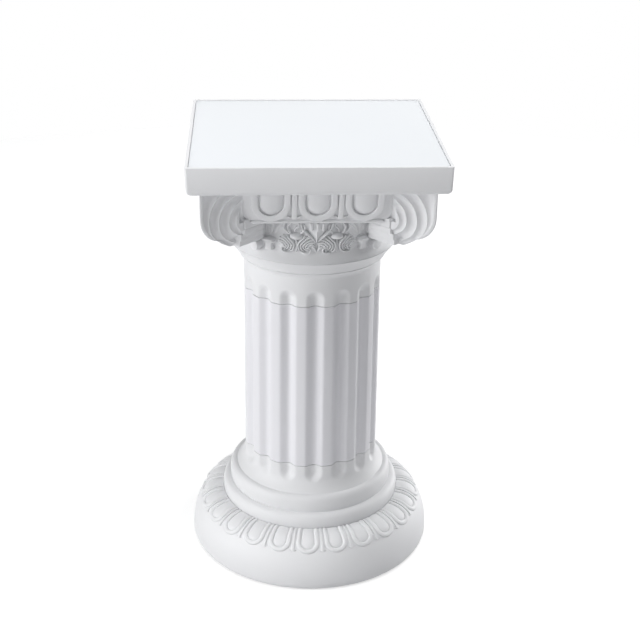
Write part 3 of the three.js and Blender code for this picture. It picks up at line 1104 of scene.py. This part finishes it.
@dataclass
class Volute:
    """Corner volute: two raking faces that meet on the diagonal, each with four crested coves.

    Attributes:
        beside: The blocks that the volutes stand beside.
        rake: How much a face falls back for each millimetre away from the corner.
        eye: Where the crests are centred across the face.
        reach: How far the corner's straight part stands from the axis.
        shoulder: Height where that straight part ends.
        waist: Height under which the corner follows the lower curve alone.
        upper: Inner end, width and height of the curve that drops from the shoulder.
        lower: Width, middle and height of the curve round the eye.
        bands: Heights along the corner and the half width of its rounded band there.
        crests: For each crest its centre height, radius across, radius up and radius down.
        cove: Depth of a cove as a part of its width.
        low: Height of the flat underside.
        start: Angle about the eye where a crest starts, in degrees.
        sweep: Angle that a crest runs through, in degrees.
        strips: For each strip of the web its half width, lower and upper height, and where it
            starts and ends along the diagonal.
    """

    beside: Echinus
    rake: float = 0.42
    eye: float = 70.0
    reach: float = 112.6
    shoulder: float = 411.0
    waist: float = 382.5
    upper: Triple = (90.0, 22.6, 28.5)
    lower: Triple = (33.8, 409.0, 39.0)
    bands: tuple[Pair, ...] = ((372, 1.2), (380, 2.6), (392, 4.4), (405, 3.6), (440, 2.8))
    cove: float = 0.3
    low: float = 374.3
    crests: tuple[tuple[float, float, float, float], ...] = (
        (406.7, 33.8, 35.5, 35.5),
        (404.4, 24.5, 28.1, 28.1),
        (404.0, 14.9, 20.4, 16.3),
        (404.0, 8.1, 11.0, 11.0),
    )
    start: float = -72.0
    sweep: float = 162.0
    strips: tuple[tuple[float, float, float, float, float], ...] = (
        (17.2, 394.6, 404.0, 86.0, 115.6),
        (16.6, 388.6, 394.6, 86.5, 116.2),
        (14.2, 382.2, 388.6, 84.3, 118.4),
        (10.6, 375.2, 382.2, 81.5, 117.0),
    )

    def edge(self, z: Points) -> Points:
        """Returns how far the corner stands out at a height."""
        def bow(start: float, wide: float, middle: float, tall: float) -> Points:
            return start + wide * np.sqrt(np.clip(1 - ((middle - z) / tall) ** 2, 0, 1))

        start, wide, tall = self.upper
        upper = np.where(z > self.waist, bow(start, wide, self.shoulder, tall), 0)
        lower = bow(self.eye, *self.lower)
        return np.where(z >= self.shoulder, self.reach, np.maximum(upper, lower))

    def band(self, z: Points) -> Points:
        """Returns the half width of the rounded band along the corner."""
        return np.interp(z, *zip(*self.bands))

    def corner(self, z: Points) -> Points:
        """Returns how far the line stands out that draws the corner's rounded band."""
        return self.edge(z) + 0.355 * self.band(z)

    def crest(self, k: int, angle: Points) -> Points:
        """Returns across and height of a crest's points for angles from the eye."""
        height, across, up, down = self.crests[k]
        tall = np.where(angle > 0, up, down)
        return np.column_stack([self.eye + across * np.cos(angle), height + tall * np.sin(angle)])

    def rim(self, angle: Points) -> Points:
        """Returns across and height of the points where the face meets the corner's band.

        Args:
            angle: Direction from the first crest's centre.

        Returns:
            Rows of across, height, found by halving the search along each direction.
        """
        centre, above = self.crests[0][0], 447
        near, far = np.full_like(angle, 20.0), np.full_like(angle, 70.0)
        for _ in range(40):
            mid = (near + far) / 2
            across, z = self.eye + mid * np.cos(angle), centre + mid * np.sin(angle)
            inside = (across < self.edge(z) - self.band(z)) & (z < above)
            near, far = np.where(inside, mid, near), np.where(inside, far, mid)
        return np.column_stack([self.eye + near * np.cos(angle), centre + near * np.sin(angle)])

    def on_face(self, across: Points, z: Points, depth: Points) -> Points:
        """Puts points on the raking face that looks to the front, sunk square to it by a depth."""
        corner = self.corner(z)
        size = math.hypot(self.rake, 1)
        y = -corner + self.rake * (corner - across)
        return np.column_stack([across + self.rake * depth / size, y + depth / size, z])

    def face(self) -> Piece:
        """Models the front face of the volute at +x, from the diagonal to the block."""
        zones, fine, eye_depth = 6, 8, 3.2
        ease, behind, foot = 4, 96.8, 402       # how the face slips behind the block

        def place(s: Points, t: Points) -> Points:
            angle = np.radians(self.start + self.sweep * s)
            zone = np.minimum((t * zones + 1e-6).astype(int), zones - 1)
            part = t * zones - zone
            rings = [self.rim(angle)] + [self.crest(k, angle) for k in range(4)]
            eye = np.full_like(rings[0], (self.eye, self.crests[-1][0]))
            stack = np.stack([rings[0], *rings, eye])
            outer, inner = (stack[zone + k, np.arange(len(s))] for k in (0, 1))
            flat = outer * (1 - part)[:, None] + inner * part[:, None]
            wide = np.linalg.norm(outer - inner, axis=1)
            sunk = self.cove * wide * 4 * part * (1 - part)
            sunk = np.where(zone == zones - 1, eye_depth * part ** 1.4, sunk)
            sunk = np.where(zone == 1, sunk * 0.7, sunk)
            near = np.clip((self.beside.half + ease - flat[:, 0]) / ease, 0, 1)
            under = np.clip(behind - self.beside.reach(flat[:, 1]), 0, None)
            under = under * near ** 2 * (3 - 2 * near)
            sunk = np.where(flat[:, 1] > foot, np.maximum(sunk, under), sunk)
            on = self.on_face(flat[:, 0], flat[:, 1], sunk)
            return np.where((zone == 0)[:, None], self.nosing(rings[0], part), on)

        return Bench.sheet("volute_face", 96, zones * fine, place)

    def nosing(self, rim: Points, part: Points) -> Points:
        """Rounds the corner from the diagonal (part 0) to the face (part 1)."""
        z = rim[:, 1]
        corner = self.corner(z)
        tip = np.column_stack([corner, -corner, z])
        face = self.on_face(rim[:, 0], z, np.zeros_like(z))
        other = np.column_stack([-face[:, 1], -face[:, 0], z])
        t = 0.5 + part[:, None] / 2
        return (1 - t) ** 2 * other + 2 * t * (1 - t) * tip + t ** 2 * face

    def head(self) -> Piece:
        """Models the carved head: two faces, drawn back along the diagonal and closed."""
        face = self.face()
        swap = Matrix(((0, -1, 0, 0), (-1, 0, 0, 0), (0, 0, 1, 0), (0, 0, 0, 1)))
        head = Bench.join("volute_head", [face, Bench.mirrored(face, swap)])
        with Bench.editing(head):
            bpy.ops.mesh.remove_doubles(threshold=0.01)
            bpy.ops.mesh.select_all(action="SELECT")
            bpy.ops.mesh.normals_make_consistent(inside=False)
            bpy.ops.mesh.select_all(action="DESELECT")
            bpy.ops.mesh.select_non_manifold(use_wire=False, use_multi_face=False,
                                             use_non_contiguous=False, use_verts=False)
            for back in (14, 4):
                step = {"value": (-back, back, 0)}
                bpy.ops.mesh.extrude_edges_move(TRANSFORM_OT_translate=step)
            bpy.ops.mesh.merge(type="CENTER")
            Bench.tidy(merge=0.005)
        Bench.cut(head, self.low, (0, 0, -1))
        return Bench.cut(head, TOP_OF_CAPITAL, (0, 0, 1))

    def web(self) -> Piece:
        """Models the stepped web behind the head: rounded bars along the diagonal, and a root."""
        bars = []
        for half, low, high, near, far in self.strips:
            bar = Bench.box("strip", (-half, -far, low), (half, -near, high))
            Bench.select_edges(bar, lambda a, b: abs(a.z - b.z) > 1 and a.y > -near - 1)
            with Bench.editing():
                bpy.ops.mesh.bevel(offset=4.5, segments=6, affect="EDGES")
            Bench.modify(bar, "BEVEL", width=0.9, segments=2, limit_method="ANGLE",
                         angle_limit=math.radians(50))
            bars.append(bar)
        root = Bench.box("root", (-9.5, -106, 378.5), (9.5, -72, 404.5))
        Bench.modify(root, "BEVEL", width=2.0, segments=3)
        return Bench.join("web", [*bars, root])

    def build(self, finishes: Finishes) -> None:
        """Models the four volutes and dresses them."""
        finishes.dress(Bench.ring("capital_volutes", self.head()), Body.CAPITAL, sharp=24)
        finishes.dress(Bench.ring("capital_webs", self.web(), start=45), Body.CAPITAL)


@dataclass
class NeckBand:
    """Carved band round the neck; each side has the same work.

    Attributes:
        radius: Radius of the neck.
        pair: Distance along the neck from the middle to the axis of a pair of leaves.
        relief: How far the work stands out for each millimetre of its flat model.
    """

    radius: float = 79.5
    pair: float = 19.8
    relief: float = 1.25

    def lay(self, p: Points) -> Points:
        """Wraps flat work round the neck: y is the height, z stands out."""
        turn = p[:, 0] / self.radius
        r = self.radius + p[:, 2] * self.relief
        return np.column_stack([r * np.sin(turn), -r * np.cos(turn), p[:, 1]])

    @staticmethod
    def stroke(name: str, path: Points, half: float, rise: float, opens: float = 0.1,
               closes: float = 0.3, least: Pair = (0.4, 0.6)) -> Piece:
        """Models one carved stroke whose ends thin out.

        Args:
            name: The stroke's name.
            path: Rows of x, y that it follows.
            half: Its half width.
            rise: How far it stands out.
            opens: Part of the length over which it opens.
            closes: Part of the length over which it closes.
            least: Fractions of the width and of the rise that are left at the ends.

        Returns:
            The closed stroke.
        """
        return Bench.sweep(name, path, tapered(half, opens, closes, least[0]),
                           tapered(rise, opens, closes, least[1]), around=10)

    def wing(self) -> Piece:
        """Models one curled leaf right of its pair's axis: a pad, five ribs and an eye."""
        parts = [Bench.dome("pad", (8.6, 8.2), 1.7, (10.8, 374.2), segments=28)]
        tips = [(9.0, 382.6), (13.6, 382.4), (17.2, 379.4), (19.2, 375.2), (18.6, 371.4)]
        for k, tip in enumerate(smooth_path(tips, 5)):
            flank = 2.3 + 2.35 * k
            low = 366.6 + 0.7 * k
            knots = [tuple(tip), (flank + 4.6 - 0.3 * k, 380.2 - 1.5 * k),
                     (flank, 374.6 - 0.9 * k), (flank + 0.9, low + 1.6),
                     (flank + 4.2 - 0.5 * k, low - 0.6)]
            rib = Bench.sweep("rib", smooth_path(knots, 22), tapered(1.25, 0.25, 0.5, 0.25),
                              tapered(4.2 - 0.25 * k, 0.3, 0.6, 0.45), around=10)
            parts.append(rib)
        curl = [(5.2, 366.0), (9.4, 364.9), (13.4, 366.2), (13.6, 369.6), (10.6, 370.6),
                (8.8, 368.6)]
        parts.append(self.stroke("curl", smooth_path(curl, 26), 1.0, 3.8, 0.2, 0.2, (0.3, 0.5)))
        parts.append(Bench.dome("eye", (1.3, 1.3), 4.2, (11.0, 368.0), segments=12))
        return Bench.join("wing", parts)

    def bud(self) -> list[Piece]:
        """Models what stands on a pair's axis: the bud, its petals above and its stalk."""
        parts = [Bench.dome("bud", (7.0, 3.5), 5.6, (0.3, 381.8), segments=28)]
        petals = (((1.9, 396.6), (2.6, 392.8), (-0.4, 390.1), (-1.8, 386.0)),
                  ((-4.2, 396.4), (-8.0, 391.6), (-7.0, 387.6), (-4.6, 384.4)),
                  ((-10.9, 395.0), (-12.4, 391.0), (-10.6, 387.6), (-7.0, 384.6)),
                  ((6.6, 395.4), (8.4, 392.0), (7.0, 388.4), (4.2, 384.6)))
        for knots in petals:
            parts.append(Bench.sweep("petal", smooth_path(knots, 18),
                                     tapered(1.5, 0.3, 0.5, 0.3), tapered(3.6, 0.2, 0.5, 0.6),
                                     around=10))
        stalk = smooth_path([(0.0, 378.5), (0.3, 373.0), (0.0, 365.6)], 12)
        parts.append(Bench.sweep("stalk", stalk, tapered(1.3, 0.1, 0.1, 0.5), level(2.6),
                                 around=10))
        return parts

    def wedge(self) -> list[Piece]:
        """Models the middle of a side: a ridged wedge, its edges, three tabs and a leaf."""
        def place(s: Points, t: Points) -> Points:
            half = 13.6 * (1 - t) ** 0.9 + 0.15
            across = 2 * s - 1
            rise = 1.0 + (4.2 - 1.6 * t) * (1 - np.abs(across))
            return np.column_stack([across * half, 397.5 - 21.3 * t, rise])

        face = Bench.sheet("wedge", 12, 20, place)
        parts = [Bench.modify(face, "SOLIDIFY", thickness=4.0, offset=1.0)]
        edge = np.array([(15.4, 397.4), (14.0, 391.8), (11.0, 387.6), (7.7, 384.2), (4.4, 381.2),
                         (1.4, 377.4)])
        leaf = np.array([(4.6, 371.6), (2.6, 370.4), (0, 365.6)])
        for way in ((-1, 1), (1, 1)):
            parts.append(self.stroke("edge", smooth_path(edge * way, 24), 1.25, 4.6))
        for x, half, low in ((-5.0, 2.6, 388.8), (0.8, 1.9, 388.2), (5.8, 2.1, 388.6)):
            tab = np.linspace((x, 398.0), (x, low), 14)
            parts.append(Bench.sweep("tab", tab, tapered(half, 0.01, 0.25, 0.2),
                                     tapered(6.6, 0.01, 0.35, 0.5), around=14))
        for way in ((-1, 1), (1, 1)):
            parts.append(Bench.sweep("leaf", smooth_path(leaf * way, 12),
                                     tapered(1.5, 0.3, 0.5, 0.25), tapered(3.4, 0.3, 0.4, 0.4),
                                     around=10))
        return parts

    def side_blocks(self) -> list[Piece]:
        """Models the small capped stalk near the end of a side, and the faint fan above it."""
        cap = [(-6.4, 373.4), (-3.4, 375.0), (0, 375.7), (3.4, 375.0), (6.4, 373.4)]
        stalk = np.linspace((0, 374.0), (0, 364.8), 12)
        parts = [Bench.sweep("cap", smooth_path(cap, 22), tapered(2.5, 0.14, 0.14, 0.3),
                             tapered(5.2, 0.12, 0.12, 0.4)),
                 Bench.sweep("stalk", stalk, lambda t: 4.4 - 1.3 * np.sin(t * math.pi),
                             level(3.8), Section.FLAT, around=20)]
        for x, lean in ((-3.2, -2.6), (3.6, 0.6), (10.0, 3.6)):
            ray = [(x + lean, 395.0), (x * 0.6 + lean * 0.4, 388.0), (x * 0.35, 380.5)]
            parts.append(self.stroke("ray", smooth_path(ray, 14), 1.9, 1.1, 0.3, 0.6, (0.3, 0.2)))
        return parts

    def build(self, finishes: Finishes) -> None:
        """Models the carved band and dresses it."""
        flip = Matrix.Scale(-1, 4, (1, 0, 0))
        shift = Matrix.Translation((-self.pair, 0, 0))
        right_wing = self.wing()
        left_pair = Bench.join("pair", [right_wing, Bench.mirrored(right_wing, flip)])
        left_pair.data.transform(shift)
        leaves = Bench.join("neck_leaves", [left_pair, Bench.mirrored(left_pair, flip)])
        buds = Bench.join("buds", self.bud())
        buds.data.transform(shift)
        buds = Bench.join("neck_buds", [buds, Bench.mirrored(buds, flip)])
        stalks = Bench.join("stalks", self.side_blocks())
        stalks.data.transform(Matrix.Translation((-47.6, 0, 0)))
        stalks = Bench.join("neck_stalks", [stalks, Bench.mirrored(stalks, flip)])
        wedge = Bench.join("neck_wedges", self.wedge())
        for piece in (leaves, buds, stalks, wedge):
            name = piece.name
            Bench.move(piece, self.lay)
            finishes.dress(Bench.ring(name, piece), Body.CAPITAL)
        finishes.dress(Bench.ring("neck_brackets", self.bracket(), start=45), Body.CAPITAL)

    def bracket(self) -> Piece:
        """Models the faceted bracket under a web, as a bar out of the neck."""
        Bench.clear()
        bpy.ops.mesh.primitive_cylinder_add(vertices=8, radius=1, depth=1,
                                            rotation=(math.pi / 2, 0, 0))
        bracket = Bench.take_new("bracket")
        bpy.ops.object.transform_apply(location=True, rotation=True, scale=True)
        Bench.move(bracket, lambda p: p * np.array([6.4, 15, 5.6]) + np.array([0, -80.5, 366.6]))
        return Bench.modify(bracket, "BEVEL", width=1.0, segments=3, limit_method="ANGLE",
                            angle_limit=math.radians(30))


# ---------------------------------------------------------------- tray, panel and screws


@dataclass
class Tray:
    """Square tray with rounded lower edges, a raised rim and ribs under the panel.

    Attributes:
        half: Half side at the top.
        low: Height of the underside.
        high: Height of the rim.
        draft: How much narrower each side is at the bottom.
        edge: Radius of the lower edges.
        corner: Radius of the upright corners.
        rim: Width of the rim.
        ease: Rounding of the rim's edges.
        seat: Height that the panel rests on.
        floor: Height of the floor between the ribs.
        cells: Rib cells along each side.
        panel_top: Height of the panel's face.
        panel_half: Half side of the panel.
    """

    half: float = 125.0
    low: float = 438.0
    high: float = 466.0
    draft: float = 0.7
    edge: float = 5.2
    corner: float = 2.6
    rim: float = 3.0
    ease: float = 0.5
    seat: float = 461.2
    floor: float = 443.5
    cells: int = 6
    panel_top: float = 465.1
    panel_half: float = 121.5

    def square_rings(self, name: str, rows: Sequence[Pair]) -> Piece:
        """Closes a body of square rings with rounded corners.

        Args:
            name: The piece's name.
            rows: Half side and height of each ring, from one closed end to the other.

        Returns:
            The closed body.
        """
        steps = 40

        def place(s: Points, t: Points) -> Points:
            half, z = np.array(rows)[np.rint(t * (len(rows) - 1)).astype(int)].T
            angle = 2 * math.pi * (s * steps + 0.5) / steps
            core = half - self.corner
            x, y = (np.sign(way) * core + self.corner * way
                    for way in (np.cos(angle), np.sin(angle)))
            return np.column_stack([x, y, z])

        return Bench.sheet(name, steps, len(rows) - 1, place, rolled=True)

    def tray(self) -> Piece:
        """Models the tray: rounded below, drafted, with an eased rim and a sunk floor."""
        turns = [math.radians(10 * k) for k in range(10)]
        foot = self.half - self.draft - self.edge
        inner = self.half - self.rim
        below = [(foot + self.edge * math.sin(a), self.low + self.edge * (1 - math.cos(a)))
                 for a in turns]
        eased = [(self.ease * (1 - math.cos(a)), self.high - self.ease * (1 - math.sin(a)))
                 for a in turns]
        outer = [(self.half - back, z) for back, z in eased[::3]]
        within = [(inner + back, z) for back, z in eased[::-3]]
        rows = [*below, *outer, *within, (inner, self.floor)]
        return self.square_rings("tray_moulding", rows)

    def ribs(self) -> Piece:
        """Models the lattice of ribs that carries the panel."""
        Bench.clear()
        bpy.ops.mesh.primitive_grid_add(x_subdivisions=self.cells, y_subdivisions=self.cells,
                                        size=2)
        ribs = Bench.take_new("tray_ribs")
        lap = 0.2
        side = self.half - self.rim + lap
        Bench.move(ribs, lambda p: p * np.array([side, side, 1]) + np.array([0, 0, self.seat]))
        fall = {"value": (0, 0, self.floor - self.seat - lap)}
        with Bench.editing(ribs):
            bpy.ops.mesh.select_mode(type="FACE")
            bpy.ops.mesh.inset(thickness=1.0, use_individual=True)
            bpy.ops.mesh.delete(type="FACE")
            bpy.ops.mesh.select_all(action="SELECT")
            bpy.ops.mesh.extrude_region_move(TRANSFORM_OT_translate=fall)
            Bench.tidy()
        return ribs

    def panel(self) -> Piece:
        """Models the lift-out panel with its eased edges."""
        side, low, top = self.panel_half, self.seat + GAP, self.panel_top
        rows = [(side - EASE, low), (side, low + EASE), (side, top - EASE),
                (side - 0.1, top - 0.1), (side - EASE, top)]
        return self.square_rings("panel_sheet", rows)

    def build(self, finishes: Finishes) -> None:
        """Models the tray and the panel and dresses them."""
        finishes.dress(self.tray(), Body.CAPITAL, "top_tray")
        finishes.dress(self.ribs(), Body.CAPITAL)
        finishes.dress(self.panel(), Body.PANEL, "top_panel", slot=Slot.PANEL)


# ---------------------------------------------------------------- studio


@dataclass
class Studio:
    """White floor, soft light and the camera.

    Attributes:
        eye: The camera's place in metres.
        yaw: Turn towards +X in radians.
        pitch: Tilt down in radians.
        roll: Roll in radians.
        lens: Focal length in millimetres on a 36 mm sensor.
        floor_radius: Radius of the floor in metres.
        target: Point that the lamps look at.
    """

    eye: Triple = (-0.0677, -1.2540, 0.8202)
    yaw: float = 0.06124
    pitch: float = 0.42188
    roll: float = 0.01337
    lens: float = 71.996
    floor_radius: float = 1.7
    target: Triple = (0, 0, 0.25)

    def camera(self) -> None:
        """Sets up the camera at the photo's viewing angle."""
        out = math.cos(self.pitch)
        ahead = Vector((math.sin(self.yaw) * out, math.cos(self.yaw) * out, -math.sin(self.pitch)))
        right = ahead.cross(Vector((0, 0, 1))).normalized()
        up = right.cross(ahead)
        level_right = right * math.cos(self.roll) + up * math.sin(self.roll)
        level_up = up * math.cos(self.roll) - right * math.sin(self.roll)
        data = bpy.data.cameras.new("camera")
        data.sensor_width = 36
        data.lens = self.lens
        camera = bpy.data.objects.new("camera", data)
        bpy.context.scene.collection.objects.link(camera)
        turn = Matrix((level_right, level_up, -ahead)).transposed().to_4x4()
        camera.matrix_world = Matrix.Translation(self.eye) @ turn
        bpy.context.scene.camera = camera

    def floor(self) -> None:
        """Lays a white floor that shows only the soft contact shadow."""
        Bench.clear()
        bpy.ops.mesh.primitive_circle_add(vertices=96, radius=self.floor_radius, fill_type="NGON")
        floor = Bench.take_new("floor")
        material = bpy.data.materials.new("floor_white")
        graph = Graph(material)
        graph.tree.nodes.clear()
        plain = graph.colour("ShaderNodeBsdfDiffuse", (0.62, 0.62, 0.63))
        dim = graph.colour("ShaderNodeBsdfDiffuse", (0.5, 0.5, 0.5))
        glow = graph.colour("ShaderNodeEmission", (1, 1, 1), 0.62)
        both = graph.node("ShaderNodeAddShader", {}, {0: dim, 1: glow})
        graph.split("ShaderNodeOutputMaterial", plain, both)
        floor.data.materials.append(material)

    def world(self) -> None:
        """Sets a white surround: soft for the light, full white where it is seen."""
        world = bpy.data.worlds.new("surround")
        bpy.context.scene.world = world
        graph = Graph(world)
        graph.tree.nodes.clear()
        soft = graph.colour("ShaderNodeBackground", (0.97, 0.98, 1.0), 0.12)
        white = graph.colour("ShaderNodeBackground", (1, 1, 1), 1.0)
        graph.split("ShaderNodeOutputWorld", soft, white)

    def lamp(self, name: str, place: Triple, size: float, power: float) -> None:
        """Hangs a square soft lamp that looks at the middle of the stand.

        Args:
            name: The lamp's name.
            place: Its place in metres.
            size: Its side in metres.
            power: Its power in watts.
        """
        data = bpy.data.lights.new(name, "AREA")
        data.shape = "SQUARE"
        data.size = size
        data.energy = power
        lamp = bpy.data.objects.new(name, data)
        lamp.location = place
        aim = Vector(self.target) - Vector(place)
        lamp.rotation_euler = aim.to_track_quat("-Z", "Y").to_euler()
        bpy.context.scene.collection.objects.link(lamp)

    def build(self) -> None:
        """Sets up the whole studio."""
        bpy.context.scene.view_settings.view_transform = "Standard"
        self.camera()
        self.floor()
        self.world()
        self.lamp("key", (-2.5, -0.9, 0.9), 1.7, 52)
        self.lamp("sky", (0.15, -0.4, 3.8), 1.6, 90)
        self.lamp("rear", (2.1, 1.5, 0.8), 1.5, 46)
        self.lamp("front", (0.2, -3.0, 0.6), 2.0, 11)


def main() -> None:
    """Builds the stand's sub-assemblies and the studio in order."""
    logging.basicConfig(level=logging.INFO, format="%(message)s")
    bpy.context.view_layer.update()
    finishes = Finishes()
    flutes, spigot = Flutes(), Spigot()
    Base(Bell(), flutes, spigot).build(finishes)
    ShaftTube(flutes).build(finishes)
    CapitalCore(flutes, spigot).build(finishes)
    echinus = Echinus()
    echinus.build(finishes)
    Volute(echinus).build(finishes)
    NeckBand().build(finishes)
    Tray().build(finishes)
    for name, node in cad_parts.items():
        if name.startswith("tray_screw"):
            finishes.coat(node, Slot.SCREW)
    Studio().build()


if __name__ == "__main__":
    main()
